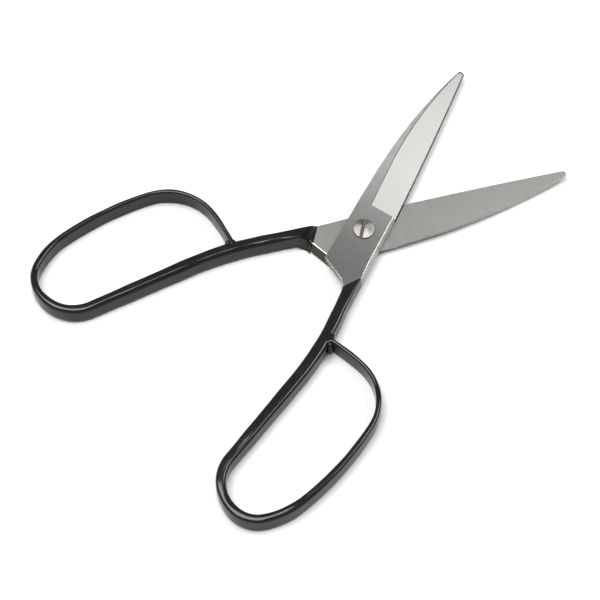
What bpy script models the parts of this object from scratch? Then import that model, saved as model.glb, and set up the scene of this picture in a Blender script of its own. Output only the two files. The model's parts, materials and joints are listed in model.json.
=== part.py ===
"""Long-loop shears: two forged halves crossing on a slotted screw, with dipped finger bows.

A half is drawn as it lies in the closed shears: the pivot at the origin, +Y to the tip, +X to the
cutting edge and to the bow, the contact plane at z = 0 and the outer face up. The lower half is the
same forging turned over about +Y, and both are then swung open about the pivot.
"""
import math
from collections import namedtuple

import bmesh
import bpy
from mathutils import Vector
from mathutils.geometry import intersect_line_line_2d

MM = 0.001

# Blade
BLADE_LENGTH = 78.7 * MM        # pivot to tip
BLADE_THICKNESS = 3.85 * MM     # at the plunge line; the bevel keeps its slope from there to the tip
TIP_WIDTH = 2.4 * MM
TIP_CROSS = 0.75 * MM           # cutting edge past the centre line at the tip
SPINE_REACH = 7.3 * MM          # pivot to spine
SPINE_STRAIGHT = 28.0 * MM      # pivot to where the spine starts to fall
SPINE_LEAN = 1.1 * MM           # contact face wider than the outer face along the spine
LEAN_FROM = 28.0 * MM           # pivot to where the spine starts to stand up
LEAN_TO = 58.0 * MM             # pivot to where it stands upright
EDGE_REACH = 7.65 * MM          # pivot to cutting edge at the plunge line
EDGE_LEAN = 0.7 * MM            # contact face wider than the outer face along the ricasso
EDGE_BELLY = 0.35 * MM          # cutting edge's bulge past a straight line
EDGE_LAND = 0.5 * MM            # height of the honed strip at the cutting edge
LAND_RUN = 0.4 * MM             # width of that strip in plan
EDGE_BREAK = 0.25 * MM          # small chamfer along the long edges
PLUNGE = 9.5 * MM               # pivot to the line where the ground bevel stops
PLUNGE_RUN = 0.6 * MM
FLAT_WIDTH = 4.9 * MM           # flat beside the spine at the plunge line
FLAT_TIP = 0.5 * MM             # the same flat at the tip
FLAT_TAPER = 1.5                # exponent of its narrowing
BLADE_GAP = 0.3 * MM            # between the two contact faces

# Heel and tang, as (x, y) in plan
UPPER_HEEL = Vector((-6.8, -16.9)) * MM
LOWER_HEEL = Vector((-7.8, -15.8)) * MM
UPPER_CROTCH = Vector((2.6, -22.0)) * MM
LOWER_CROTCH = Vector((2.8, -21.6)) * MM
UPPER_OVERHANG = 0.4 * MM       # outer face past the contact face along the sloped crotch wall
LOWER_OVERHANG = 2.5 * MM
TANG_SIDE = Vector((8.9, -14.8)) * MM
UPPER_SHOULDER = Vector((8.75, -17.8)) * MM     # outer side of the bar where its coating starts
LOWER_SHOULDER = Vector((8.2, -19.5)) * MM
SHOULDER_IN = Vector((4.55, -24.4)) * MM

# Bow bar, over its coating
BAR_HEIGHT = 8.0 * MM
BAR_CORNER = 0.9 * MM
TANG_WIDTH = 4.1 * MM
SHANK_WIDTH = 4.3 * MM
TOE_WIDTH = 3.75 * MM
UPPER_FOOT_WIDTH = 3.1 * MM
LOWER_FOOT_WIDTH = 2.6 * MM
UPPER_FLANK_WIDTH = 3.1 * MM
LOWER_FLANK_WIDTH = 2.0 * MM
UPPER_SIDE_WIDTH = 2.1 * MM
LOWER_SIDE_WIDTH = 1.9 * MM
TOP_WIDTH = 1.9 * MM
COAT = 0.35 * MM
BOND_GAP = 0.1 * MM
COAT_STEP = 0.1 * MM            # run of the step in the tang where the coating starts
COAT_SEAT_GAP = 0.15 * MM
LAP_STEP = 0.05 * MM            # where the coating of the loop's end laps over to the shank
JOINT_GAP = 0.2 * MM            # at the butt of bow on tang, and of loop end on shank
WELD_RADIUS = 0.9 * MM
WELD_GAP = 0.05 * MM

# Bends of the bow's bar in order from the tang: run along its middle and turn over that run, left positive
TANG_START = Vector((7.0, -27.0)) * MM
TANG_LEAN = math.radians(7.0)           # from -Y towards the loop
TANG_RUN = 9.5 * MM                     # to the butt of the bow on the tang
TANG_TURN = math.radians(-1.0)
SHANK_RUN = 28.0 * MM
UPPER_SHANK_TURN = math.radians(-14.0)
LOWER_SHANK_TURN = math.radians(-13.5)
STRAIGHT_RUN = 38.0 * MM
INNER_RUN = 14.0 * MM
INNER_TURN = math.radians(56.0)
BOTTOM_RUN = 7.0 * MM
BOTTOM_TURN = math.radians(24.0)
UPPER_OUTER_RUN = 12.0 * MM
LOWER_OUTER_RUN = 12.5 * MM
OUTER_TURN = math.radians(60.0)
FLANK_RUN = 15.0 * MM
FLANK_TURN = math.radians(28.0)
UPPER_SIDE_RUN = 36.5 * MM
LOWER_SIDE_RUN = 34.5 * MM
SIDE_TURN = math.radians(18.0)
SHOULDER_RUN = 26.0 * MM
SHOULDER_TURN = math.radians(74.0)
CROWN_RUN = 8.0 * MM
CROWN_TURN = math.radians(8.0)
BEND_STEPS = 6
TOP_STEPS = 3                           # of the straight end from the crown to the shank

# Pivot
SCREW_RADIUS = 2.0 * MM
HEAD_RADIUS = 4.0 * MM
HEAD_RIM = 0.25 * MM            # rim above the blade's outer face
HEAD_RISE = 1.1 * MM            # top of the dome above the outer face
HEAD_SINK = 2.0 * MM            # depth of the cone under the rim
SLOT_WIDTH = 1.3 * MM
SLOT_DEPTH = 0.9 * MM
SLOT_TURN = math.radians(37.0)  # from +Y
PIVOT_CLEARANCE = 0.2 * MM
NUT_RADIUS = 3.6 * MM
NUT_THICKNESS = 1.6 * MM
NUT_SINK = 0.2 * MM             # below the lower blade's outer face
NUT_NOTCH = 0.9 * MM
NUT_BREAK = 0.25 * MM

# Pose in the photograph
OPENING = math.radians(41.95)   # from blades in line to the pose at rest

BLADE_STEPS = 16
BAR_ARCS = 2                    # facets round each corner of the coated bar
DOME_STEPS = 6
BEAD_STEPS = 16
ROUND_STEPS = 48
SHARP_ANGLE = math.radians(32.0)
CUT_PAST = 2.0 * MM             # how far a cutter runs past what it cuts

Z_CONTACT = BLADE_GAP / 2
Z_OUTER = Z_CONTACT + BLADE_THICKNESS
SKIN = COAT + BOND_GAP
WELD_HALF_HEIGHT = BAR_HEIGHT / 2 - BAR_CORNER
PIVOT_HEIGHT = max(BAR_HEIGHT / 2, Z_OUTER)

Station = namedtuple("Station", "contact_in contact_out outer_out outer_in z_contact z_outer")
Bend = namedtuple("Bend", "run turn width")


def clear_scene():
    for obj in list(bpy.data.objects):
        bpy.data.objects.remove(obj, do_unlink=True)


def make_material(name, color, roughness, metallic):
    material = bpy.data.materials.new(name)
    material.use_nodes = True
    shader = material.node_tree.nodes["Principled BSDF"]
    shader.inputs["Base Color"].default_value = (*color, 1.0)
    shader.inputs["Roughness"].default_value = roughness
    shader.inputs["Metallic"].default_value = metallic
    return material


def satin_steel(name):
    return make_material(name, (0.36, 0.36, 0.35), 0.38, 1.0)


def bar_steel(name):
    return make_material(name, (0.20, 0.20, 0.20), 0.55, 1.0)


def weld_steel(name):
    return make_material(name, (0.16, 0.15, 0.14), 0.7, 1.0)


def black_vinyl(name):
    return make_material(name, (0.010, 0.011, 0.011), 0.22, 0.0)


def turned_steel(name):
    return make_material(name, (0.62, 0.61, 0.58), 0.25, 1.0)


def add_object(name, mesh_builder, material, parent):
    mesh = bpy.data.meshes.new(name)
    bmesh.ops.recalc_face_normals(mesh_builder, faces=mesh_builder.faces)
    mesh_builder.to_mesh(mesh)
    mesh_builder.free()
    mesh.shade_smooth()
    mesh.set_sharp_from_angle(angle=SHARP_ANGLE)
    if material:
        mesh.materials.append(material)
    obj = bpy.data.objects.new(name, mesh)
    bpy.context.collection.objects.link(obj)
    obj.parent = parent
    return obj


def add_empty(name, parent, location, rotation):
    obj = bpy.data.objects.new(name, None)
    bpy.context.collection.objects.link(obj)
    obj.parent = parent
    obj.location = location
    obj.rotation_euler = rotation
    return obj


def loft(name, rings, material, parent):
    """Skin a list of rings of equal length and close both ends.

    Every four-sided patch is split along the same diagonal, so that nested skins stay parallel.
    """
    builder = bmesh.new()
    loops = [[builder.verts.new(point) for point in points] for points in rings]
    count = len(loops[0])
    for near, far in zip(loops, loops[1:]):
        for i in range(count):
            after = (i + 1) % count
            builder.faces.new((near[i], near[after], far[after]))
            builder.faces.new((near[i], far[after], far[i]))
    builder.faces.new(loops[0])
    builder.faces.new(loops[-1])
    return add_object(name, builder, material, parent)


def lathe(name, profile, material, parent, steps=ROUND_STEPS):
    """Turn an (r, z) profile that starts and ends on the axis about Z."""
    builder = bmesh.new()
    turns = [2 * math.pi * i / steps for i in range(steps)]
    rows = []
    for radius, height in profile:
        if radius == 0:
            rows.append([builder.verts.new((0, 0, height))])
            continue
        rows.append([builder.verts.new((radius * math.cos(a), radius * math.sin(a), height)) for a in turns])
    for upper, lower in zip(rows, rows[1:]):
        for i in range(steps):
            after = (i + 1) % steps
            corners = (upper[i % len(upper)], upper[after % len(upper)],
                       lower[after % len(lower)], lower[i % len(lower)])
            builder.faces.new(tuple(dict.fromkeys(corners)))
    return add_object(name, builder, material, parent)


def block(name, size, parent):
    builder = bmesh.new()
    bmesh.ops.create_cube(builder, size=1.0)
    bmesh.ops.scale(builder, vec=size, verts=builder.verts)
    return add_object(name, builder, None, parent)


def combine(obj, other, operation, solver="EXACT"):
    """Join or cut obj with another object, which then only guides it."""
    other.hide_render = True
    other.display_type = "WIRE"
    modifier = obj.modifiers.new(other.name, "BOOLEAN")
    modifier.operation = operation
    modifier.solver = solver
    modifier.object = other


def lift(plan, height):
    return Vector((plan.x, plan.y, height))


def corners_of(station, inset):
    """A station's four corners, drawn in by inset from every side."""
    contact_way = (station.contact_out - station.contact_in).normalized() * inset
    outer_way = (station.outer_out - station.outer_in).normalized() * inset
    low = station.z_contact + inset
    high = station.z_outer - inset
    return [lift(station.contact_in + contact_way, low), lift(station.contact_out - contact_way, low),
            lift(station.outer_out - outer_way, high), lift(station.outer_in + outer_way, high)]


def ring(station, inset, corner, arcs):
    """Four-sided ring with rounded corners through a station."""
    corners = corners_of(station, inset)
    points = []
    for i, point in enumerate(corners):
        back = (corners[i - 1] - point).normalized()
        ahead = (corners[(i + 1) % 4] - point).normalized()
        for step in range(arcs + 1):
            turn = math.pi / 2 * step / arcs
            points.append(point + corner * ((1 - math.sin(turn)) * back + (1 - math.cos(turn)) * ahead))
    return points


def blade_section(y):
    """Places across the blade at a distance from the pivot: spine, edge of the flat, cutting edge."""
    along = (y - PLUNGE) / (BLADE_LENGTH - PLUNGE)
    fall = max(0.0, (y - SPINE_STRAIGHT) / (BLADE_LENGTH - SPINE_STRAIGHT)) ** 2
    spine = -SPINE_REACH + (SPINE_REACH + TIP_CROSS - TIP_WIDTH) * fall
    flat = spine + FLAT_TIP + (FLAT_WIDTH - FLAT_TIP) * (1 - along) ** FLAT_TAPER
    edge = EDGE_REACH + (TIP_CROSS - EDGE_REACH) * along + EDGE_BELLY * 4 * along * (1 - along)
    return spine, flat, edge


def blade_ring(y):
    """Ring of the ground blade at a distance from the pivot."""
    root_flat, root_edge = blade_section(PLUNGE)[1:]
    slope = (BLADE_THICKNESS - EDGE_LAND) / (root_edge - LAND_RUN - root_flat)
    spine, flat, edge = blade_section(y)
    top = Z_CONTACT + min(BLADE_THICKNESS, EDGE_LAND + slope * (edge - LAND_RUN - flat))
    upright = min(1.0, max(0.0, (y - LEAN_FROM) / (LEAN_TO - LEAN_FROM)))
    foot = spine - SPINE_LEAN * (1 - upright)
    land = Vector((edge - LAND_RUN, y, Z_CONTACT + EDGE_LAND))
    shoulder = Vector((flat, y, top))
    bevel_start = shoulder + (land - shoulder).normalized() * EDGE_BREAK
    return [Vector((foot, y, Z_CONTACT + EDGE_BREAK)), Vector((foot + EDGE_BREAK, y, Z_CONTACT)),
            Vector((edge, y, Z_CONTACT)), land, bevel_start, shoulder,
            Vector((spine + EDGE_BREAK, y, top)), Vector((spine, y, top - EDGE_BREAK))]


def tang_stations(side):
    """Bare stations from the plunge line to the shoulder; the crotch station lies in one upright plane."""
    lower = side == "lower"
    outer_heel = LOWER_HEEL if lower else UPPER_HEEL
    inner_end = LOWER_CROTCH if lower else UPPER_CROTCH
    overhang = LOWER_OVERHANG if lower else UPPER_OVERHANG
    outer_side = LOWER_SHOULDER if lower else UPPER_SHOULDER
    along_crotch = (inner_end - outer_heel).normalized()
    out_of_crotch = Vector((along_crotch.y, -along_crotch.x))
    contact_heel = outer_heel - out_of_crotch * overhang
    contact_crotch = inner_end - out_of_crotch * overhang
    across_tang = (contact_crotch - TANG_SIDE).normalized()
    outer_crotch = contact_crotch + across_tang * (overhang / across_tang.dot(out_of_crotch))
    plunge_edge = Vector((EDGE_REACH, PLUNGE))
    lean = Vector((-EDGE_LEAN, 0.0))
    heel_share = (PLUNGE - contact_heel.y) / (PLUNGE - contact_crotch.y)
    heel_side = plunge_edge.lerp(TANG_SIDE, heel_share)
    plunge = Station(Vector((-SPINE_REACH - SPINE_LEAN, PLUNGE)), plunge_edge,
                     plunge_edge + lean, Vector((-SPINE_REACH, PLUNGE)), Z_CONTACT, Z_OUTER)
    heel = Station(contact_heel, heel_side, heel_side + lean, outer_heel, Z_CONTACT, Z_OUTER)
    crotch = Station(contact_crotch, TANG_SIDE, TANG_SIDE + across_tang * EDGE_LEAN, outer_crotch,
                     Z_CONTACT, Z_OUTER)
    shoulder = Station(SHOULDER_IN, outer_side, outer_side, SHOULDER_IN, -BAR_HEIGHT / 2, BAR_HEIGHT / 2)
    return plunge, heel, crotch, shoulder


def bow_bends(shank_turn, outer_run, side_run, foot_width, flank_width, side_width):
    """Bends of one bow, each with the bar's width at its end."""
    return (Bend(TANG_RUN, TANG_TURN, SHANK_WIDTH), Bend(SHANK_RUN, shank_turn, SHANK_WIDTH),
            Bend(STRAIGHT_RUN, 0.0, TOE_WIDTH), Bend(INNER_RUN, INNER_TURN, TOE_WIDTH),
            Bend(BOTTOM_RUN, BOTTOM_TURN, foot_width), Bend(outer_run, OUTER_TURN, foot_width),
            Bend(FLANK_RUN, FLANK_TURN, flank_width), Bend(side_run, SIDE_TURN, side_width),
            Bend(SHOULDER_RUN, SHOULDER_TURN, TOP_WIDTH), Bend(CROWN_RUN, CROWN_TURN, TOP_WIDTH))


def upper_bends():
    return bow_bends(UPPER_SHANK_TURN, UPPER_OUTER_RUN, UPPER_SIDE_RUN,
                     UPPER_FOOT_WIDTH, UPPER_FLANK_WIDTH, UPPER_SIDE_WIDTH)


def lower_bends():
    return bow_bends(LOWER_SHANK_TURN, LOWER_OUTER_RUN, LOWER_SIDE_RUN,
                     LOWER_FOOT_WIDTH, LOWER_FLANK_WIDTH, LOWER_SIDE_WIDTH)


def bow_points(bends):
    """Points along the middle of a bar with these bends, up to its own shank; z is the width there."""
    points = [lift(TANG_START, TANG_WIDTH)]
    heading = TANG_LEAN
    for bend in bends:
        first_width = points[-1].z
        half_turn = bend.turn / BEND_STEPS / 2
        chord = bend.run / BEND_STEPS
        if half_turn:
            chord *= math.sin(half_turn) / half_turn
        for step in range(1, BEND_STEPS + 1):
            way = Vector((math.sin(heading + half_turn), -math.cos(heading + half_turn)))
            width = first_width + (bend.width - first_width) * step / BEND_STEPS
            points.append(lift(points[-1].xy + chord * way, width))
            heading += 2 * half_turn
    crown = points[-1]
    ahead = crown.xy + Vector((math.sin(heading), -math.cos(heading))) * SHOULDER_RUN
    crossings = [intersect_line_line_2d(crown.xy, ahead, near.xy, far.xy)
                 for near, far in zip(points, points[1:])]
    end = lift(next(crossing for crossing in crossings if crossing), TOP_WIDTH)
    return points + [crown.lerp(end, step / TOP_STEPS) for step in range(1, TOP_STEPS + 1)]


def bow_stations(points):
    """Upright stations across the bow at each point of its centre line."""
    stations = []
    last = len(points) - 1
    for i, point in enumerate(points):
        way = (points[min(i + 1, last)] - points[max(i - 1, 0)]).xy.normalized()
        across = Vector((-way.y, way.x)) * point.z / 2
        inner = point.xy - across
        outer = point.xy + across
        stations.append(Station(inner, outer, outer, inner, -BAR_HEIGHT / 2, BAR_HEIGHT / 2))
    return stations


def between(near, far, run):
    """Station at a distance from near on the straight run to far, or before near if run is negative."""
    share = run / (far.outer_in - near.outer_in).length
    return Station(*[a + (b - a) * share for a, b in zip(near, far)])


def make_blade(name, rings, bore_profile, parent):
    blade = loft(name, rings, satin_steel(name), parent)
    combine(blade, lathe(name + "_bore", bore_profile, None, parent), "DIFFERENCE")


def make_bow(name, stations, parent):
    """Steel bar from its butt on the tang round to its end against the shank."""
    start = between(stations[BEND_STEPS], stations[BEND_STEPS + 1], JOINT_GAP)
    end = between(stations[-1], stations[-2], SHANK_WIDTH / 2 - SKIN + JOINT_GAP)
    bar = [start] + stations[BEND_STEPS + 1:-1] + [end]
    loft(name, [ring(station, SKIN, BAR_CORNER - SKIN, 1) for station in bar], bar_steel(name), parent)


def weld_place(points):
    """Plan point of the bead, in the corner inside the loop between its end and the shank."""
    joint = points[-1].xy
    along_loop = (points[-2] - points[-1]).xy.normalized()
    nearest = min(range(len(points) // 2), key=lambda i: (points[i].xy - joint).length)
    along_shank = (points[nearest + 1] - points[nearest - 1]).xy.normalized()
    across_shank = Vector((-along_shank.y, along_shank.x))
    reach = WELD_RADIUS + WELD_GAP - SKIN
    beside_loop = joint + Vector((along_loop.y, -along_loop.x)) * (points[-1].z / 2 + reach)
    short = points[nearest].z / 2 + reach - (beside_loop - points[nearest].xy).dot(across_shank)
    return beside_loop + along_loop * (short / along_loop.dot(across_shank))


def bead_profile(radius, half_height):
    shoulder = half_height - radius / 2
    return [(0, half_height), (radius / 2, half_height), (radius, shoulder),
            (radius, -shoulder), (radius / 2, -half_height), (0, -half_height)]


def make_weld(name, place, parent):
    bead = lathe(name, bead_profile(WELD_RADIUS, WELD_HALF_HEIGHT), weld_steel(name), parent, BEAD_STEPS)
    bead.location = lift(place, 0)


def make_coating(name, stations, place, parent):
    """Dipped sleeve: the coated form less the steel inside it, open at the tang.

    The exact solver leaves open edges where the bead's hollow meets the bar's, so this one is MANIFOLD.
    """
    run = stations[:-1]
    lap = stations[-3:]
    mouth = between(run[0], run[1], -CUT_PAST)

    def sleeve(part, along, inset, arcs, material):
        return loft(part, [ring(s, inset, BAR_CORNER - inset, arcs) for s in along], material, parent)

    def bead(part, skin):
        profile = bead_profile(WELD_RADIUS + skin, WELD_HALF_HEIGHT + skin)
        form = lathe(part, profile, None, parent, BEAD_STEPS)
        form.location = lift(place, 0)
        return form

    coating = sleeve(name, run, 0, BAR_ARCS, black_vinyl(name))
    for form in (sleeve(name + "_lap", lap, LAP_STEP, BAR_ARCS, None), bead(name + "_bump", SKIN)):
        combine(coating, form, "UNION", "MANIFOLD")
    for void in (sleeve(name + "_void", [mouth] + run, COAT, 1, None),
                 sleeve(name + "_lap_void", lap, COAT - LAP_STEP, 1, None),
                 bead(name + "_bead_void", BOND_GAP)):
        combine(coating, void, "DIFFERENCE", "MANIFOLD")


def make_half(side, bends, coat_from_crotch, bore_profile, parent):
    """One half of the shears: blade, bow, weld bead and coating."""
    plunge, heel, crotch, shoulder = tang_stations(side)
    points = bow_points(bends)
    stations = bow_stations(points)
    lip = Station(*crotch[:4], Z_CONTACT - SKIN, BAR_HEIGHT / 2)
    bare = [plunge, heel, crotch] if coat_from_crotch else [plunge, heel, crotch, shoulder]
    coated = [lip, shoulder] + stations if coat_from_crotch else [shoulder] + stations
    steel_step = between(coated[0], coated[1], COAT_STEP)
    coat_start = between(coated[0], coated[1], COAT_STEP + COAT_SEAT_GAP)
    tang_end = len(coated) - len(stations) + BEND_STEPS + 1
    covered = [steel_step, coat_start] + coated[1:tang_end]

    reach = BLADE_LENGTH - PLUNGE - PLUNGE_RUN
    rings = [blade_ring(BLADE_LENGTH - reach * i / BLADE_STEPS) for i in range(BLADE_STEPS + 1)]
    rings += [ring(station, 0, EDGE_BREAK, 1) for station in bare]
    rings += [ring(station, SKIN, BAR_CORNER - SKIN, 1) for station in covered]
    make_blade(side + "_blade", rings, bore_profile, parent)

    place = weld_place(points)
    make_bow(side + "_bow", stations, parent)
    make_weld(side + "_bow_weld", place, parent)
    make_coating(side + "_coating", [coat_start] + coated[1:], place, parent)


def upper_bore():
    """Countersunk hole for the screw's head, in the upper half's own frame."""
    mouth = HEAD_RADIUS + PIVOT_CLEARANCE
    hole = SCREW_RADIUS + PIVOT_CLEARANCE
    seat = Z_OUTER + HEAD_RIM - HEAD_SINK - PIVOT_CLEARANCE
    rim = Z_OUTER - PIVOT_CLEARANCE
    return [(0, Z_OUTER + CUT_PAST), (mouth, Z_OUTER + CUT_PAST), (mouth, rim),
            (hole, seat), (hole, -CUT_PAST), (0, -CUT_PAST)]


def lower_bore():
    """Plain hole with a counterbore for the nut, in the lower half's own frame."""
    mouth = NUT_RADIUS + PIVOT_CLEARANCE
    hole = SCREW_RADIUS + PIVOT_CLEARANCE
    seat = Z_OUTER - NUT_SINK - NUT_THICKNESS - PIVOT_CLEARANCE
    return [(0, Z_OUTER + CUT_PAST), (mouth, Z_OUTER + CUT_PAST), (mouth, seat),
            (hole, seat), (hole, -CUT_PAST), (0, -CUT_PAST)]


def make_screw(parent):
    """Slotted screw: domed head in the upper blade, shank down into the nut."""
    rim = Z_OUTER + HEAD_RIM
    crown = HEAD_RISE - HEAD_RIM
    dome = []
    for step in range(DOME_STEPS + 1):
        share = step / DOME_STEPS
        dome.append((HEAD_RADIUS * share, rim + crown * (1 - share ** 2)))
    tail = -Z_OUTER + NUT_SINK + PIVOT_CLEARANCE
    seat = rim - HEAD_SINK
    profile = dome + [(HEAD_RADIUS, Z_OUTER - PIVOT_CLEARANCE / 2), (SCREW_RADIUS, seat),
                      (SCREW_RADIUS, tail + NUT_BREAK), (SCREW_RADIUS - NUT_BREAK, tail), (0, tail)]
    screw = lathe("pivot_screw", profile, turned_steel("pivot_screw"), parent)
    slot = block("screw_slot", (SLOT_WIDTH, 2 * (HEAD_RADIUS + CUT_PAST), 2 * SLOT_DEPTH), parent)
    slot.location.z = Z_OUTER + HEAD_RISE
    slot.rotation_euler.z = SLOT_TURN
    combine(screw, slot, "DIFFERENCE")


def make_nut(parent):
    """Round nut with two spanner notches, sunk in the lower blade."""
    bottom = -Z_OUTER + NUT_SINK
    top = bottom + NUT_THICKNESS
    profile = [(0, top), (NUT_RADIUS, top), (NUT_RADIUS, bottom + NUT_BREAK),
               (NUT_RADIUS - NUT_BREAK, bottom), (0, bottom)]
    nut = lathe("lock_nut", profile, turned_steel("lock_nut"), parent)
    bore = SCREW_RADIUS + BOND_GAP
    hole = [(0, top + CUT_PAST), (bore, top + CUT_PAST), (bore, bottom - CUT_PAST), (0, bottom - CUT_PAST)]
    combine(nut, lathe("nut_bore", hole, None, parent), "DIFFERENCE")
    notch = block("nut_notch", (NUT_NOTCH, 2 * (NUT_RADIUS + CUT_PAST), NUT_NOTCH), parent)
    notch.location.z = bottom
    combine(nut, notch, "DIFFERENCE")


def centre_on_table(root):
    """Put the middle of the whole part's footprint at the origin, standing on z = 0."""
    bpy.context.view_layer.update()
    graph = bpy.context.evaluated_depsgraph_get()
    corners = []
    for obj in bpy.data.objects:
        if obj.type == "MESH" and not obj.hide_render:
            evaluated = obj.evaluated_get(graph)
            corners += [obj.matrix_world @ vertex.co for vertex in evaluated.data.vertices]
    low = [min(corner[i] for corner in corners) for i in range(3)]
    high = [max(corner[i] for corner in corners) for i in range(3)]
    root.location = (-(low[0] + high[0]) / 2, -(low[1] + high[1]) / 2, -low[2])


def main():
    clear_scene()
    root = add_empty("shears", None, (0, 0, 0), (0, 0, 0))
    pivot = add_empty("pivot", root, (0, 0, PIVOT_HEIGHT), (0, 0, 0))
    lower = add_empty("lower_half", pivot, (0, 0, 0), (0, math.pi, -OPENING / 2))
    upper = add_empty("upper_half", pivot, (0, 0, 0), (0, 0, OPENING / 2))
    make_half("lower", lower_bends(), True, lower_bore(), lower)
    make_half("upper", upper_bends(), False, upper_bore(), upper)
    make_screw(pivot)
    make_nut(pivot)
    centre_on_table(root)


main()
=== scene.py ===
"""Looks of the long-loop shears: satin and ground steel, glossy dipped bows, a pale floor and soft light.

A half is drawn as it lies in the closed shears: the pivot at the origin, +Y to the tip, +X to the
cutting edge and to the bow, the contact plane at z = 0 and the outer face up. It is then put in its
place in the frame: the lower half turned over about +Y, both swung open about the pivot.
"""
import json
import math
from collections import namedtuple

import bmesh
import bpy
from mathutils import Euler, Matrix, Vector
from mathutils.geometry import intersect_line_line_2d


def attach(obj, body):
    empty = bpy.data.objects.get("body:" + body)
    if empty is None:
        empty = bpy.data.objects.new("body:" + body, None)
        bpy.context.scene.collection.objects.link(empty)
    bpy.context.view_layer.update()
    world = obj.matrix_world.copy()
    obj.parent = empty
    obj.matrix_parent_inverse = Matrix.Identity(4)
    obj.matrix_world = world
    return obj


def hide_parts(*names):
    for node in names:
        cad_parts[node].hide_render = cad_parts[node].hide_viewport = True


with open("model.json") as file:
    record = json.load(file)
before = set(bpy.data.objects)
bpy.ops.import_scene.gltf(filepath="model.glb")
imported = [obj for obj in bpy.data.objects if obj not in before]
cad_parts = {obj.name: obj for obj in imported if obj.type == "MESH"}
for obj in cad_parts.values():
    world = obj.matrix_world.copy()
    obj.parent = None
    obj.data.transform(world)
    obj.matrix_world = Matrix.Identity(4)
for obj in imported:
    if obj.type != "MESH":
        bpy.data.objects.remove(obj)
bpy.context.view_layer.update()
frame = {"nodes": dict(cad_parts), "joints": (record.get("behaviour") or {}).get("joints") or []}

MM = 0.001
PIVOT = Vector(frame["joints"][0]["pos_m"])
OPENING = math.radians(41.95)   # from blades in line to the pose at rest

# Blade
BLADE_LENGTH = 78.7 * MM        # pivot to tip
BLADE_THICKNESS = 3.85 * MM     # at the plunge line; the bevel keeps its slope from there to the tip
TIP_WIDTH = 2.1 * MM
TIP_CROSS = 0.75 * MM           # cutting edge past the centre line at the tip
TIP_ROUND = 1.0 * MM            # length of the rounded tip
TIP_LEFT = 0.35                 # share of the tip's width at its very end
SPINE_REACH = 7.3 * MM          # pivot to spine
SPINE_STRAIGHT = 26.5 * MM      # pivot to where the spine starts to fall
SPINE_LEAN = 1.1 * MM           # contact face wider than the outer face along the spine
LEAN_FROM = 28.0 * MM           # pivot to where the spine starts to stand up
LEAN_TO = 58.0 * MM             # and to where it stands upright
EDGE_REACH = 7.65 * MM          # pivot to cutting edge at the plunge line
EDGE_LEAN = 0.7 * MM            # contact face wider than the outer face along the ricasso
EDGE_BELLY = 0.35 * MM          # cutting edge's bulge past a straight line
EDGE_LAND = 0.5 * MM            # height of the honed strip at the cutting edge
LAND_RUN = 0.4 * MM             # width of that strip in plan
EDGE_BREAK = 0.18 * MM          # rounding of the edges of the outer face
CONTACT_BREAK = 0.2 * MM        # rounding of the edges of the contact face
CROTCH_BREAK = 0.8 * MM         # rounding of the lower half's crotch at its outer face
PLUNGE = 9.5 * MM               # pivot to the line where the ground bevel stops
PLUNGE_RUN = 0.6 * MM
FLAT_WIDTH = 4.9 * MM           # flat beside the spine at the plunge line
FLAT_TIP = 0.4 * MM             # the same flat at the tip
FLAT_TAPER = 1.5                # exponent of its narrowing
BLADE_GAP = 0.3 * MM            # between the two contact faces
BLADE_SET = {"upper": math.radians(-0.35), "lower": math.radians(0.5)}     # turn of each hand-ground blade
BLADE_STEPS = 48
TIP_STEPS = 8
BREAK_ARCS = 4                  # facets round each corner of the steel
BREAK_SHARE = 0.35              # largest rounding of a corner, as a share of the sides it joins
HOLD_SHARE = 0.2                # strip beside a rounding that keeps the faces' shading flat

# Heel and tang, as (x, y) in plan
UPPER_HEEL = Vector((-6.8, -16.9)) * MM
LOWER_HEEL = Vector((-7.8, -15.8)) * MM
UPPER_CROTCH = Vector((2.6, -22.0)) * MM
LOWER_CROTCH = Vector((2.8, -21.6)) * MM
UPPER_OVERHANG = 0.4 * MM       # outer face past the contact face along the sloped crotch wall
LOWER_OVERHANG = 2.5 * MM
TANG_SIDE = Vector((8.9, -14.8)) * MM
UPPER_SHOULDER = Vector((8.75, -17.8)) * MM     # outer side of the bar where its coating starts
LOWER_SHOULDER = Vector((8.2, -19.5)) * MM
SHOULDER_IN = Vector((4.55, -24.4)) * MM

# Coated bar of the bow
BAR_HEIGHT = 8.0 * MM
SKIN = 0.45 * MM                # coating and bond over the steel
COAT_START = 0.25 * MM          # from the end of the bare steel to the coating's lip
STEEL_SINK = 0.5 * MM           # the steel's reach into the coating
FILM = 0.16 * MM                # thin run of the lower coating ahead of its lip
FILM_IN = 1.9 * MM              # its reach along the bare steel's edge at the crotch
FILM_OUT = 0.5 * MM             # and on the other side
FILM_ROUND = CONTACT_BREAK + FILM       # its corners follow those of the steel
LIP_ROUND = 0.4 * MM
LIP_STEPS = 5
LIP_HEIGHT = 0.9 * MM           # lower half's lip above its contact face
RIDGE_SHARE = 0.68              # share of the way to the shoulder where that lip has the bar's height
RIDGE_OUT = Vector((7.9, -17.3)) * MM           # outer side of the bar there
RAGGED = 0.3 * MM               # waviness of that lip's end
RAG_WAVES = 5                   # broad waves round the bar
RAG_PHASE = 0.6
RAG_RIPPLES = 11                # and narrow ones
RAG_SHARE = 0.5                 # their height beside the broad ones
EASE_SKIP = 6                   # path steps between the stations that the bar's start is eased through
EASE_STEPS = 8
TANG_ROUND = 0.6 * MM           # corner radius of the bar where it leaves the tang
SHANK_ROUND = {"upper": 1.2 * MM, "lower": 1.55 * MM}      # the same further down the shank
ROUND_RUN = 15.0 * MM           # length over which it grows
ROUND_SHARE = 0.42              # largest corner radius, as a share of the bar's width
WOBBLE = 0.03 * MM              # unevenness of the dipped coating, in two waves along the bar
LONG_WAVE = 2.9 * MM            # run over which each wave advances by a radian
SHORT_WAVE = 1.7 * MM
SHORT_SHARE = 0.6               # height of the short wave beside the long one
SHORT_PHASE = 1.0
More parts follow.
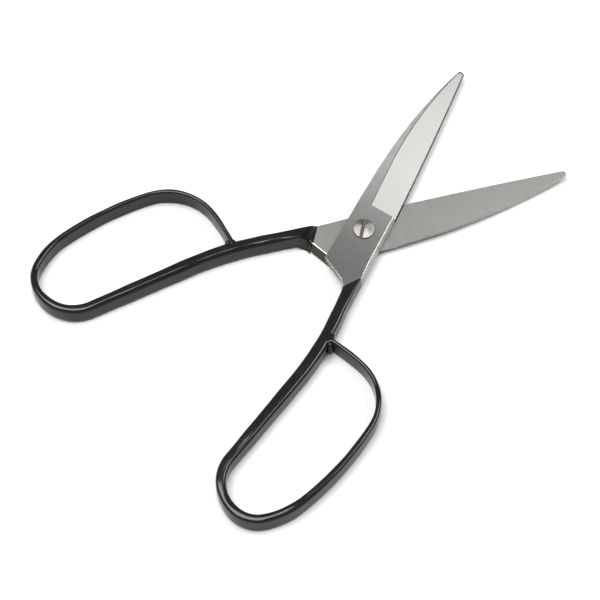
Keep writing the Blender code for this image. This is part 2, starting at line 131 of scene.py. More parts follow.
WELD_RADIUS = 0.9 * MM
BUMP_SKIN = 0.15 * MM           # coating over the weld bead
JOINT_FLARE = {"upper": 1.8 * MM, "lower": 0.7 * MM}      # fillet where the loop's end meets the shank
JOINT_STEPS = 7                 # path steps at the loop's end that the fillet takes
JOINT_LAP = 2                   # path steps over which it laps the loop
JOINT_INSET = 0.02 * MM
BAR_ARCS = 7

# Bends of the bow's bar in order from the tang: run along its middle and turn over that run, left positive
TANG_START = Vector((7.0, -27.0)) * MM
TANG_LEAN = math.radians(7.0)           # from -Y towards the loop
TANG_RUN = 9.5 * MM
TANG_TURN = math.radians(-1.0)
SHANK_RUN = 28.0 * MM
STRAIGHT_RUN = 38.0 * MM
INNER_RUN = 14.0 * MM
INNER_TURN = math.radians(56.0)
BOTTOM_RUN = 7.0 * MM
BOTTOM_TURN = math.radians(24.0)
OUTER_TURN = math.radians(60.0)
FLANK_RUN = 15.0 * MM
FLANK_TURN = math.radians(28.0)
SIDE_TURN = math.radians(18.0)
SHOULDER_RUN = 26.0 * MM
SHOULDER_TURN = math.radians(74.0)
CROWN_RUN = 8.0 * MM
CROWN_TURN = math.radians(8.0)
BEND_STEPS = 14
TOP_STEPS = 12                          # of the straight end from the crown to the shank

# Widths of the coated bar at the ends of the bends
TANG_WIDTH = 4.1 * MM
SHANK_WIDTH = 4.6 * MM
TOE_WIDTH = 4.0 * MM
BALL_WIDTH = 3.6 * MM
TOP_WIDTH = 1.7 * MM

# Where the two hand-bent bows differ
Bow = namedtuple("Bow", "shank_turn outer_run side_run foot_width flank_width side_width")
BOWS = {
    "upper": Bow(math.radians(-14.0), 12.0 * MM, 36.5 * MM, 3.55 * MM, 3.1 * MM, 2.25 * MM),
    "lower": Bow(math.radians(-13.5), 12.5 * MM, 34.5 * MM, 2.8 * MM, 2.4 * MM, 1.8 * MM),
}

# Pivot
SCREW_RADIUS = 2.0 * MM
HEAD_RADIUS = 4.0 * MM
HEAD_RIM = 0.5 * MM
HEAD_GAP = 0.1 * MM             # round the head, in the blade's outer face
HEAD_RISE = 1.1 * MM
HEAD_SINK = 2.0 * MM
HEAD_BREAK = 0.12 * MM
SLOT_WIDTH = 1.3 * MM
SLOT_DEPTH = 0.9 * MM
SLOT_TURN = math.radians(37.0)
SLOT_OFF = 0.35 * MM            # the slot was sawn a little off the middle
PIVOT_CLEARANCE = 0.2 * MM
NUT_RADIUS = 3.6 * MM
NUT_THICKNESS = 1.6 * MM
NUT_SINK = 0.2 * MM
NUT_NOTCH = 0.9 * MM
NUT_BREAK = 0.25 * MM
BORE_GAP = 0.1 * MM
DOME_STEPS = 12
ROUND_STEPS = 96
BEAD_STEPS = 40
BEAD_ARCS = 6
CUT_PAST = 2.0 * MM
SHARP_ANGLE = math.radians(28.0)

# Grain of the finishes
NOISE_LOW = 0.3                 # a noise field mostly lies between these two
NOISE_HIGH = 0.7
NOISE_DETAIL = 3.0
GRAIN_STRENGTH = 0.4            # of the relief that a brushed grain brings

# Dipped vinyl
VINYL_DARK = (0.008, 0.0088, 0.0086)
VINYL_LIGHT = (0.012, 0.0128, 0.0126)
VINYL_ROUGHNESS = (0.06, 0.11)
VINYL_CLOUDS = 6.0 * MM         # size of its broad changes of shade
VINYL_RIPPLES = 1.2 * MM        # and of its fine relief
RIPPLE_STRENGTH = 0.15
RIPPLE_DEPTH = 0.01 * MM
WALL_GLOSS = 0.13               # reflection on upright walls
TOP_GLOSS = 0.44                # and on what faces up
TOP_FACING = 0.8                # upward part of the normal from which that holds

# Turned and hidden steel
TURNED_DARK = (0.31, 0.304, 0.288)
TURNED_LIGHT = (0.375, 0.367, 0.347)
TURNED_ROUGHNESS = (0.50, 0.58)
TURNED_SHEEN = 0.75             # anisotropy that a lathe's rings bring
TURNED_WAVE = 0.35 * MM         # radius over which the rings advance by a radian
TURNED_WANDER = 0.6
WAVE_RATE = 20                  # radians per unit in the wave node
HIDDEN_GRAIN = 0.8 * MM
HIDDEN_ROUGHNESS = (0.5, 0.7)

# Stage
FLOOR_REACH = 1.2               # from its middle
FLOOR_DROP = 0.02 * MM          # keeps it off the faces that rest on it
FLOOR_DARK = (0.90, 0.90, 0.90)
FLOOR_LIGHT = (0.92, 0.92, 0.92)
FLOOR_GRAIN = 2.0 * MM
FLOOR_ROUGHNESS = 0.9
FLOOR_GLOSS = 0.1
SKY_COLOUR = (0.95, 0.97, 1.0, 1.0)
SKY_STRENGTH = 0.20

# Lights, as seen from the part: direction along right, away and up, sizes in metres, power in watts
Softbox = namedtuple("Softbox", "name way distance width height power")
SOFTBOXES = (
    Softbox("left_softbox", (-0.29, -0.02, 0.957), distance=1.2, width=0.84, height=0.84, power=16.2),
    Softbox("right_softbox", (0.56, 0.12, 0.82), distance=1.2, width=0.60, height=0.50, power=7.1),
)

# Photograph's camera
CAMERA_AZIMUTH = math.radians(50.0)
CAMERA_ELEVATION = math.radians(62.0)
CAMERA_DISTANCE = 0.9609
CAMERA_LENS = 162.0
CAMERA_AIM = Vector((7.37 * MM, -36.37 * MM, 4.0 * MM))    # from the pivot

# Heights of a half's two faces in its drawing
Z_CONTACT = BLADE_GAP / 2
Z_OUTER = Z_CONTACT + BLADE_THICKNESS

# Section across a half: its four corners in plan, then the heights of its contact and outer side
Station = namedtuple("Station", "contact_in contact_out outer_out outer_in z_contact z_outer")
Bend = namedtuple("Bend", "run turn width")


def half_matrix(side):
    """From the drawing of a half to its place at rest."""
    turn = Euler((0, math.pi, -OPENING / 2)) if side == "lower" else Euler((0, 0, OPENING / 2))
    return Matrix.Translation(PIVOT) @ turn.to_matrix().to_4x4()


# Node helpers

def start_material(name):
    material = bpy.data.materials.new(name)
    material.use_nodes = True
    tree = material.node_tree
    return material, tree, tree.nodes["Principled BSDF"]


def add_node(tree, kind, inputs=None, **settings):
    """New node with its settings, and its inputs by name: a value, or a socket to link."""
    node = tree.nodes.new(kind)
    for name, value in settings.items():
        setattr(node, name, value)
    for name, value in (inputs or {}).items():
        if isinstance(value, bpy.types.NodeSocket):
            tree.links.new(value, node.inputs[name])
        else:
            node.inputs[name].default_value = value
    return node


def half_coordinates(tree, side):
    """Coordinates along (y) and across (x) a half's blade, from its pivot."""
    turn = OPENING / 2 if side == "lower" else -OPENING / 2
    shift = -(Matrix.Rotation(turn, 3, "Z") @ PIVOT)
    place = add_node(tree, "ShaderNodeTexCoord")
    turned = add_node(tree, "ShaderNodeMapping", {"Vector": place.outputs["Object"]})
    turned.inputs["Rotation"].default_value = (0, 0, turn)
    turned.inputs["Location"].default_value = shift
    return turned.outputs["Vector"]


def grain(tree, coordinates, size):
    """Noise whose grains have the given size in metres along x, y and z."""
    stretch = add_node(tree, "ShaderNodeMapping", {"Vector": coordinates})
    stretch.inputs["Scale"].default_value = [1 / length for length in size]
    field = add_node(tree, "ShaderNodeTexNoise", {"Vector": stretch.outputs["Vector"]})
    field.inputs["Scale"].default_value = 1.0
    field.inputs["Detail"].default_value = NOISE_DETAIL
    return field.outputs["Fac"]


def spread(tree, field, low, high):
    """Map a noise field to a range."""
    mapped = add_node(tree, "ShaderNodeMapRange", {
        "Value": field, "From Min": NOISE_LOW, "From Max": NOISE_HIGH, "To Min": low, "To Max": high})
    return mapped.outputs["Result"]


def tint(tree, field, dark, light):
    """Colour between two shades along a noise field."""
    ramp = add_node(tree, "ShaderNodeValToRGB", {"Fac": field})
    stops = ((NOISE_LOW, dark), (NOISE_HIGH, light))
    for element, (position, shade) in zip(ramp.color_ramp.elements, stops):
        element.position = position
        element.color = (*shade, 1.0)
    return ramp.outputs["Color"]


def painted_light_along_blade(tree, coordinates, colour, tang, tip):
    """Colour with painted light along the blade: darker at the tang and lighter towards the tip."""
    along = add_node(tree, "ShaderNodeSeparateXYZ", {"Vector": coordinates}).outputs["Y"]
    factor = add_node(tree, "ShaderNodeMapRange", {
        "Value": along, "From Min": UPPER_CROTCH.y, "From Max": BLADE_LENGTH,
        "To Min": tang, "To Max": tip}, interpolation_type="SMOOTHSTEP")
    scaled = add_node(tree, "ShaderNodeVectorMath", {"Vector": colour, "Scale": factor.outputs["Result"]},
                      operation="SCALE")
    return scaled.outputs["Vector"]


def bump(tree, shader, field, strength, depth):
    relief = add_node(tree, "ShaderNodeBump", {"Height": field, "Strength": strength, "Distance": depth})
    tree.links.new(relief.outputs["Normal"], shader.inputs["Normal"])


# Finishes

def brushed_steel(name, side, size, dark, light, roughness, depth, painted_fade=None):
    """Steel with a directional grain: its size and depth, and the shades and the roughness it brings.

    The last argument, if given, is the brightness painted at the tang and at the tip, as painted light.
    """
    material, tree, shader = start_material(name)
    shader.inputs["Metallic"].default_value = 1.0
    coordinates = half_coordinates(tree, side)
    field = grain(tree, coordinates, size)
    colour = tint(tree, field, dark, light)
    # painted light: the colour is darkened towards the tang and lightened towards the tip
    if painted_fade:
        colour = painted_light_along_blade(tree, coordinates, colour, *painted_fade)
    tree.links.new(colour, shader.inputs["Base Color"])
    tree.links.new(spread(tree, field, *roughness), shader.inputs["Roughness"])
    bump(tree, shader, field, GRAIN_STRENGTH, depth)
    return material


def satin_finish(side):
    """Outer flat and ricasso."""
    # painted light along the blade, darker at the tang and lighter towards the tip
    return brushed_steel(side + "_satin_steel", side, size=(0.25 * MM, 2.5 * MM, 0.25 * MM),
                         dark=(0.30, 0.305, 0.295), light=(0.35, 0.355, 0.34),
                         roughness=(0.33, 0.40), depth=0.004 * MM, painted_fade=(0.46, 2.7))


def ground_finish(side):
    """Bevel down to the cutting edge."""
    # painted light along the blade, darker at the tang and lighter towards the tip
    return brushed_steel(side + "_ground_steel", side, size=(3.0 * MM, 0.22 * MM, 3.0 * MM),
                         dark=(0.24, 0.237, 0.228), light=(0.28, 0.277, 0.268),
                         roughness=(0.30, 0.36), depth=0.003 * MM, painted_fade=(0.60, 0.93))


def lapped_finish(side):
    """Contact face."""
    # painted light along the blade, darker at the tang and lighter towards the tip
    return brushed_steel(side + "_lapped_steel", side, size=(14.0 * MM, 0.28 * MM, 14.0 * MM),
                         dark=(0.45, 0.445, 0.425), light=(0.51, 0.505, 0.485),
                         roughness=(0.32, 0.38), depth=0.002 * MM, painted_fade=(0.66, 1.04))


def wall_finish(side):
    """Spine, sides of the ricasso and bores."""
    return brushed_steel(side + "_wall_steel", side, size=(0.6 * MM, 1.2 * MM, 0.3 * MM),
                         dark=(0.26, 0.26, 0.245), light=(0.33, 0.33, 0.31),
                         roughness=(0.28, 0.38), depth=0.006 * MM)


def shaded_land_finish(side):
    """Narrow strip along the cutting edge, painted near black as painted shade of the steep land."""
    return brushed_steel(side + "_shaded_land_steel", side, size=(0.3 * MM, 0.8 * MM, 0.3 * MM),
                         dark=(0.07, 0.07, 0.068), light=(0.10, 0.10, 0.098),
                         roughness=(0.25, 0.32), depth=0.002 * MM)


def forged_and_shaded_finish(side):
    """Wall of the crotch, left as forged; its dark tone is partly that surface and partly painted shade.
    """
    return brushed_steel(side + "_forged_and_shaded_steel", side, size=(0.9 * MM, 0.9 * MM, 0.9 * MM),
                         dark=(0.07, 0.069, 0.058), light=(0.115, 0.114, 0.097),
                         roughness=(0.36, 0.50), depth=0.02 * MM)


def edge_highlight_finish(side):
    """Broken edges, painted much lighter than their faces as a painted highlight line."""
    return brushed_steel(side + "_edge_highlight_steel", side, size=(0.3 * MM, 2.0 * MM, 0.3 * MM),
                         dark=(0.62, 0.62, 0.60), light=(0.70, 0.70, 0.68),
                         roughness=(0.22, 0.30), depth=0.002 * MM)


def vinyl_finish(side):
    """Glossy black coating, duller on its walls."""
    material, tree, shader = start_material(side + "_black_vinyl")
    coordinates = half_coordinates(tree, side)
    clouds = grain(tree, coordinates, (VINYL_CLOUDS,) * 3)
    ripples = grain(tree, coordinates, (VINYL_RIPPLES,) * 3)
    tree.links.new(tint(tree, clouds, VINYL_DARK, VINYL_LIGHT), shader.inputs["Base Color"])
    tree.links.new(spread(tree, clouds, *VINYL_ROUGHNESS), shader.inputs["Roughness"])
    normal = add_node(tree, "ShaderNodeTexCoord").outputs["Normal"]
    facing = add_node(tree, "ShaderNodeSeparateXYZ", {"Vector": normal}).outputs["Z"]
    gloss = add_node(tree, "ShaderNodeMapRange", {
        "Value": facing, "From Min": 0.0, "From Max": TOP_FACING,
        "To Min": WALL_GLOSS, "To Max": TOP_GLOSS})
    tree.links.new(gloss.outputs["Result"], shader.inputs["Specular IOR Level"])
    bump(tree, shader, ripples, RIPPLE_STRENGTH, RIPPLE_DEPTH)
    return material


def turned_finish():
    """Bright steel with the rings that a lathe leaves."""
    material, tree, shader = start_material("turned_steel")
    place = add_node(tree, "ShaderNodeTexCoord")
    centred = add_node(tree, "ShaderNodeMapping", {"Vector": place.outputs["Object"]})
    centred.inputs["Location"].default_value = -PIVOT
    rings = add_node(tree, "ShaderNodeTexWave", {"Vector": centred.outputs["Vector"]},
                     wave_type="RINGS", rings_direction="Z")
    rings.inputs["Scale"].default_value = 1 / TURNED_WAVE / WAVE_RATE
    rings.inputs["Distortion"].default_value = TURNED_WANDER
    field = rings.outputs["Fac"]
    shader.inputs["Metallic"].default_value = 1.0
    shader.inputs["Anisotropic"].default_value = TURNED_SHEEN
    tree.links.new(tint(tree, field, TURNED_DARK, TURNED_LIGHT), shader.inputs["Base Color"])
    tree.links.new(spread(tree, field, *TURNED_ROUGHNESS), shader.inputs["Roughness"])
    around = add_node(tree, "ShaderNodeTangent", direction_type="RADIAL", axis="Z")
    tree.links.new(around.outputs["Tangent"], shader.inputs["Tangent"])
    return material


def hidden_finish(name, dark, light):
    """Dull steel, for the screw's slot and what the coating covers."""
    material, tree, shader = start_material(name)
    shader.inputs["Metallic"].default_value = 1.0
    place = add_node(tree, "ShaderNodeTexCoord")
    field = grain(tree, place.outputs["Object"], (HIDDEN_GRAIN,) * 3)
    tree.links.new(tint(tree, field, dark, light), shader.inputs["Base Color"])
    tree.links.new(spread(tree, field, *HIDDEN_ROUGHNESS), shader.inputs["Roughness"])
    return material


# Mesh helpers

def add_object(name, builder, materials):
    bmesh.ops.recalc_face_normals(builder, faces=builder.faces)
    mesh = bpy.data.meshes.new(name)
    builder.to_mesh(mesh)
    builder.free()
    for material in materials:
        mesh.materials.append(material)
    obj = bpy.data.objects.new(name, mesh)
    bpy.context.scene.collection.objects.link(obj)
    return obj


def loft(name, rings, materials, slots=None):
    """Skin a list of rings of equal length and close both ends.

    slots gives the material of each side of a ring, for each pair of rings or for all of them.
    """
    builder = bmesh.new()
    loops = [[builder.verts.new(point) for point in points] for points in rings]
    count = len(loops[0])
    for row, (near, far) in enumerate(zip(loops, loops[1:])):
        for i in range(count):
            after = (i + 1) % count
            face = builder.faces.new((near[i], near[after], far[after], far[i]))
            if slots:
                face.material_index = slots[row][i]
    builder.faces.new(loops[0])
    builder.faces.new(loops[-1])
    return add_object(name, builder, materials)


def lathe(name, profile, materials, steps=ROUND_STEPS):
    """Turn an (r, z) profile that starts and ends on the axis about Z."""
    builder = bmesh.new()
    turns = [2 * math.pi * i / steps for i in range(steps)]
    rows = []
    for radius, height in profile:
        if radius == 0:
            rows.append([builder.verts.new((0, 0, height))])
            continue
        circle = [(radius * math.cos(turn), radius * math.sin(turn), height) for turn in turns]
        rows.append([builder.verts.new(point) for point in circle])
    for upper, lower in zip(rows, rows[1:]):
        for i in range(steps):
            after = (i + 1) % steps
            corners = (upper[i % len(upper)], upper[after % len(upper)],
                       lower[after % len(lower)], lower[i % len(lower)])
            builder.faces.new(tuple(dict.fromkeys(corners)))
    return add_object(name, builder, materials)


def block(name, size, materials):
    builder = bmesh.new()
    bmesh.ops.create_cube(builder, size=1.0)
    bmesh.ops.scale(builder, vec=size, verts=builder.verts)
    return add_object(name, builder, materials)


def combine(obj, other, operation, solver="EXACT"):
    """Join or cut obj with another object, which is then removed."""
    modifier = obj.modifiers.new("cut", "BOOLEAN")
    modifier.operation = operation
    modifier.solver = solver
    modifier.material_mode = "TRANSFER"
    modifier.object = other
    graph = bpy.context.evaluated_depsgraph_get()
    mesh = bpy.data.meshes.new_from_object(obj.evaluated_get(graph))
    mesh.name = obj.name
    obj.modifiers.clear()
    obj.data = mesh
    bpy.data.objects.remove(other, do_unlink=True)


def place_piece(obj, matrix, body, slot, *nodes):
    """Put a finished piece in the frame, riding on its body in place of its nodes."""
    obj.data.transform(matrix)
    obj.data.shade_smooth()
    obj.data.set_sharp_from_angle(angle=SHARP_ANGLE)
    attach(obj, body)
    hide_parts(*nodes)


# Sections

def lift(plan, height):
    return Vector((plan.x, plan.y, height))


def corners_of(station, inset):
    """A station's four corners, drawn in by inset from every side."""
    contact_way = (station.contact_out - station.contact_in).normalized() * inset
    outer_way = (station.outer_out - station.outer_in).normalized() * inset
    low = station.z_contact + inset
    high = station.z_outer - inset
    return [lift(station.contact_in + contact_way, low), lift(station.contact_out - contact_way, low),
            lift(station.outer_out - outer_way, high), lift(station.outer_in + outer_way, high)]


def ring(station, inset, corner, arcs):
    """Four-sided ring with rounded corners through a station."""
    corners = corners_of(station, inset)
    points = []
    for i, point in enumerate(corners):
        back = (corners[i - 1] - point).normalized()
        ahead = (corners[(i + 1) % 4] - point).normalized()
        for step in range(arcs + 1):
            turn = math.pi / 2 * step / arcs
            points.append(point + corner * ((1 - math.sin(turn)) * back + (1 - math.cos(turn)) * ahead))
    return points


def broken_corner(before, point, after, rounding):
    """Rounded corner between two neighbours, with a narrow strip of each face beside it."""
    back = before - point
    ahead = after - point
    radius = min(rounding, BREAK_SHARE * back.length, BREAK_SHARE * ahead.length)
    back.normalize()
    ahead.normalize()
    arc = []
    for step in range(BREAK_ARCS + 1):
        turn = math.pi / 2 * step / BREAK_ARCS
        arc.append(point + radius * ((1 - math.sin(turn)) * back + (1 - math.cos(turn)) * ahead))
    hold = radius * (1 + HOLD_SHARE)
    return [point + back * hold] + arc + [point + ahead * hold]


def broken_ring(corners, roundings):
    """Ring through four corners, each with its own rounding."""
    points = []
    for i, rounding in enumerate(roundings):
        points += broken_corner(corners[i - 1], corners[i], corners[(i + 1) % 4], rounding)
    return points


def steel_ring(station, crotch_break):
    """Ring of the bare tang: rounded edges on both faces."""
    return broken_ring(corners_of(station, 0), (CONTACT_BREAK, CONTACT_BREAK, EDGE_BREAK, crotch_break))


def between(near, far, run):
    """Station at a distance from near on each of the four straight runs to far."""
    share = run / (far.outer_in - near.outer_in).length
    plan = [a + (b - a).normalized() * run for a, b in zip(near[:4], far[:4])]
    return Station(*plan, *[a + (b - a) * share for a, b in zip(near[4:], far[4:])])


def eased_point(before, near, far, after, t):
    """Point on the smooth curve from near to far that heads on from before and to after."""
    length = (far - near).length
    leave = (far - before).normalized() * length
    arrive = (after - near).normalized() * length
    late = t * t * (3 - 2 * t)
    return near.lerp(far, late) + leave * (t * (1 - t) ** 2) - arrive * (t * t * (1 - t))


def eased(knots):
    """Smooth run of stations from the first knot to the last but one."""
    stations = knots[:1]
    for i in range(len(knots) - 2):
        before, near, far, after = knots[max(i - 1, 0)], *knots[i:i + 3]
        for step in range(1, EASE_STEPS + 1):
            plan = [eased_point(*points, step / EASE_STEPS)
                    for points in zip(before[:4], near[:4], far[:4], after[:4])]
            stations.append(Station(*plan, far.z_contact, far.z_outer))
    return stations


def blade_section(y):
    """Places across the blade at a distance from the pivot: spine, edge of the flat, cutting edge."""
    along = (y - PLUNGE) / (BLADE_LENGTH - PLUNGE)
    fall = max(0.0, (y - SPINE_STRAIGHT) / (BLADE_LENGTH - SPINE_STRAIGHT)) ** 2
    spine = -SPINE_REACH + (SPINE_REACH + TIP_CROSS - TIP_WIDTH) * fall
    flat = spine + FLAT_TIP + (FLAT_WIDTH - FLAT_TIP) * (1 - along) ** FLAT_TAPER
    edge = EDGE_REACH + (TIP_CROSS - EDGE_REACH) * along + EDGE_BELLY * 4 * along * (1 - along)
    return spine, flat, edge


def blade_ring(side, y):
    """Ring of the ground blade at a distance from the pivot."""
    set_over = (y - PLUNGE) * math.tan(BLADE_SET[side])
    root_flat, root_edge = blade_section(PLUNGE)[1:]
    slope = (BLADE_THICKNESS - EDGE_LAND) / (root_edge - LAND_RUN - root_flat)
    spine, flat, edge = blade_section(y)
    thickness = min(BLADE_THICKNESS, EDGE_LAND + slope * (edge - LAND_RUN - flat))
    upright = min(1.0, max(0.0, (y - LEAN_FROM) / (LEAN_TO - LEAN_FROM)))
    foot = spine - SPINE_LEAN * (1 - upright)
    past = max(0.0, 1 - (BLADE_LENGTH - y) / TIP_ROUND)
    narrowing = TIP_LEFT + (1 - TIP_LEFT) * math.sqrt(1 - past ** 2)
    middle = (foot + edge) / 2

    def corner(x, height):
        return Vector((set_over + middle + (x - middle) * narrowing, y, Z_CONTACT + height * narrowing))

    heel = corner(foot, 0)
    cutting = corner(edge, 0)
    land = corner(edge - LAND_RUN, EDGE_LAND)
    shoulder = corner(flat, thickness)
    back = corner(spine, thickness)
    steps = BREAK_ARCS + 2
    return (broken_corner(back, heel, cutting, CONTACT_BREAK)
            + [cutting.lerp(land, i / steps) for i in range(steps + 1)]
            + broken_corner(land, shoulder, back, EDGE_BREAK)
            + broken_corner(shoulder, back, heel, EDGE_BREAK))


def tang_stations(side):
    """Bare stations from the plunge line to the shoulder; the crotch station lies in one upright plane."""
    lower = side == "lower"
    outer_heel = LOWER_HEEL if lower else UPPER_HEEL
    inner_end = LOWER_CROTCH if lower else UPPER_CROTCH
    overhang = LOWER_OVERHANG if lower else UPPER_OVERHANG
    outer_side = LOWER_SHOULDER if lower else UPPER_SHOULDER
    along_crotch = (inner_end - outer_heel).normalized()
    out_of_crotch = Vector((along_crotch.y, -along_crotch.x))
    contact_heel = outer_heel - out_of_crotch * overhang
    contact_crotch = inner_end - out_of_crotch * overhang
    across_tang = (contact_crotch - TANG_SIDE).normalized()
    outer_crotch = contact_crotch + across_tang * (overhang / across_tang.dot(out_of_crotch))
    plunge_edge = Vector((EDGE_REACH, PLUNGE))
    lean = Vector((-EDGE_LEAN, 0.0))
    heel_share = (PLUNGE - contact_heel.y) / (PLUNGE - contact_crotch.y)
    heel_side = plunge_edge.lerp(TANG_SIDE, heel_share)
    plunge = Station(Vector((-SPINE_REACH - SPINE_LEAN, PLUNGE)), plunge_edge,
                     plunge_edge + lean, Vector((-SPINE_REACH, PLUNGE)), Z_CONTACT, Z_OUTER)
    heel = Station(contact_heel, heel_side, heel_side + lean, outer_heel, Z_CONTACT, Z_OUTER)
    crotch = Station(contact_crotch, TANG_SIDE, TANG_SIDE + across_tang * EDGE_LEAN, outer_crotch,
                     Z_CONTACT, Z_OUTER)
    shoulder = Station(SHOULDER_IN, outer_side, outer_side, SHOULDER_IN, -BAR_HEIGHT / 2, BAR_HEIGHT / 2)
    return plunge, heel, crotch, shoulder


def bow_bends(side):
    """Bends of one bow, each with the bar's width at its end."""
    bow = BOWS[side]
    return (Bend(TANG_RUN, TANG_TURN, SHANK_WIDTH), Bend(SHANK_RUN, bow.shank_turn, SHANK_WIDTH),
            Bend(STRAIGHT_RUN, 0.0, TOE_WIDTH), Bend(INNER_RUN, INNER_TURN, BALL_WIDTH),
            Bend(BOTTOM_RUN, BOTTOM_TURN, bow.foot_width), Bend(bow.outer_run, OUTER_TURN, bow.foot_width),
            Bend(FLANK_RUN, FLANK_TURN, bow.flank_width), Bend(bow.side_run, SIDE_TURN, bow.side_width),
            Bend(SHOULDER_RUN, SHOULDER_TURN, TOP_WIDTH), Bend(CROWN_RUN, CROWN_TURN, TOP_WIDTH))


def bow_points(side):
    """Points along the middle of a bow's bar, up to its own shank; z is the width there."""
    points = [lift(TANG_START, TANG_WIDTH)]
    heading = TANG_LEAN
    for bend in bow_bends(side):
        first_width = points[-1].z
        half_turn = bend.turn / BEND_STEPS / 2
        chord = bend.run / BEND_STEPS
        if half_turn:
            chord *= math.sin(half_turn) / half_turn
        for step in range(1, BEND_STEPS + 1):
            way = Vector((math.sin(heading + half_turn), -math.cos(heading + half_turn)))
            width = first_width + (bend.width - first_width) * step / BEND_STEPS
            points.append(lift(points[-1].xy + chord * way, width))
            heading += 2 * half_turn
    crown = points[-1]
    ahead = crown.xy + Vector((math.sin(heading), -math.cos(heading))) * SHOULDER_RUN
    crossings = [intersect_line_line_2d(crown.xy, ahead, near.xy, far.xy)
                 for near, far in zip(points, points[1:])]
    end = lift(next(crossing for crossing in crossings if crossing), TOP_WIDTH)
    return points + [crown.lerp(end, step / TOP_STEPS) for step in range(1, TOP_STEPS + 1)]


def bow_stations(points):
    """Upright stations across the bow at each point of its centre line."""
    stations = []
    last = len(points) - 1
    for i, point in enumerate(points):
        way = (points[min(i + 1, last)] - points[max(i - 1, 0)]).xy.normalized()
        across = Vector((-way.y, way.x)) * point.z / 2
        inner = point.xy - across
        outer = point.xy + across
        stations.append(Station(inner, outer, outer, inner, -BAR_HEIGHT / 2, BAR_HEIGHT / 2))
    return stations


# Pieces

# Slots of the finishes: the land's is painted shade, the crotch wall's partly painted shade, the broken
# edges' a painted highlight
SATIN, GROUND, LAPPED, WALL, SHADED_LAND, FORGED_AND_SHADED, EDGE_HIGHLIGHT = range(7)


def ring_slots(corners, faces):
    """Finish of each side of a steel ring, from those of its four corners and the face after each."""
    slots = []
    for corner, face in zip(corners, faces):
        slots += [corner] * (BREAK_ARCS + 2) + [face]
    return slots


BLADE_SLOTS = ring_slots((WALL, SHADED_LAND, GROUND, SATIN), (LAPPED, GROUND, SATIN, WALL))
RICASSO_SLOTS = ring_slots((WALL, WALL, EDGE_HIGHLIGHT, SATIN), (LAPPED, WALL, SATIN, WALL))
TANG_SLOTS = ring_slots((EDGE_HIGHLIGHT, WALL, EDGE_HIGHLIGHT, EDGE_HIGHLIGHT), (LAPPED, WALL, SATIN, FORGED_AND_SHADED))


def make_blade(side, finishes, coat_from_crotch, bore_profile):
    """One forging: ground blade, bare ricasso and the tang up into the coating."""
    plunge, heel, crotch, shoulder = tang_stations(side)
    bare = [plunge, heel, crotch] if coat_from_crotch else [plunge, heel, crotch, shoulder]
    reach = BLADE_LENGTH - TIP_ROUND - PLUNGE - PLUNGE_RUN
    tip_turns = [math.pi / 2 * i / TIP_STEPS for i in range(TIP_STEPS)]
    heights = [BLADE_LENGTH - TIP_ROUND * (1 - math.cos(turn)) for turn in tip_turns]
    heights += [BLADE_LENGTH - TIP_ROUND - reach * i / BLADE_STEPS for i in range(BLADE_STEPS + 1)]
    rings = [blade_ring(side, y) for y in heights]
    slots = [BLADE_SLOTS] * len(rings) + [RICASSO_SLOTS] + [TANG_SLOTS] * len(bare)
    crotch_break = CROTCH_BREAK if coat_from_crotch else EDGE_BREAK
    rings.append(steel_ring(plunge, EDGE_BREAK))
    rings += [steel_ring(station, crotch_break) for station in bare[1:]]
    coat_side = Station(*bare[-1][:4], -BAR_HEIGHT / 2, BAR_HEIGHT / 2) if coat_from_crotch else shoulder
    sunk = between(coat_side, bow_stations(bow_points(side))[0], STEEL_SINK)
    sunk_corners = corners_of(Station(*sunk[:4], bare[-1].z_contact, bare[-1].z_outer), SKIN)
    rings.append(broken_ring(sunk_corners, (EDGE_BREAK,) * 4))
    blade = loft(side + "_ground_blade", rings, finishes, slots)
    combine(blade, lathe(side + "_bore", bore_profile, [finishes[WALL]]), "DIFFERENCE")
    place_piece(blade, half_matrix(side), side + "_half", "blade_steel", side + "_blade")


def bead_profile(radius, half_height):
    """Upright bead with round ends."""
    profile = []
    for step in range(BEAD_ARCS + 1):
        turn = math.pi / 2 * step / BEAD_ARCS
        profile.append((radius * math.sin(turn), half_height - radius * (1 - math.cos(turn))))
    return profile + [(r, -height) for r, height in reversed(profile)]


def make_bump(side, finish):
    """Coating over the weld bead, which the frame has in the corner inside the loop."""
    bead = frame["nodes"][side + "_bow_weld"]
    box = [bead.matrix_world @ Vector(corner) for corner in bead.bound_box]
    centre = half_matrix(side).inverted() @ (sum(box, Vector()) / len(box))
    profile = bead_profile(WELD_RADIUS + BUMP_SKIN, BAR_HEIGHT / 2 - WELD_RADIUS + BUMP_SKIN)
    bump_form = lathe(side + "_bump", profile, [finish], BEAD_STEPS)
    bump_form.location = centre
    return bump_form


def corner_at(side, station, run):
    """Corner radius of the bar at a distance from the tang."""
    width = (station.outer_out - station.outer_in).length
    grown = TANG_ROUND + (SHANK_ROUND[side] - TANG_ROUND) * min(1.0, run / ROUND_RUN)
    return min(grown, ROUND_SHARE * width)


def uneven(run):
    """Slow unevenness of the coating along the bar, which only thins it."""
    short = SHORT_SHARE * math.sin(run / SHORT_WAVE + SHORT_PHASE)
    return WOBBLE * (1 + SHORT_SHARE + math.sin(run / LONG_WAVE) + short)


def lip_rings(start, after, corner, ragged):
    """Rounded nose of the coating at its start, which may be wavy."""
    way = lift((start.outer_in - after.outer_in).normalized(), 0)
    rings = []
    for step in range(LIP_STEPS):
        turn = math.pi / 2 * step / LIP_STEPS
        station = between(start, after, LIP_ROUND * (1 - math.cos(turn)))
        points = ring(station, LIP_ROUND * (1 - math.sin(turn)), corner, BAR_ARCS)
        for i, point in enumerate(points):
            phase = 2 * math.pi * i / len(points)
            wave = math.sin(RAG_WAVES * phase + RAG_PHASE) + RAG_SHARE * math.sin(RAG_RIPPLES * phase)
            point += way * ragged * wave / (1 + RAG_SHARE)
        rings.append(points)
    return rings


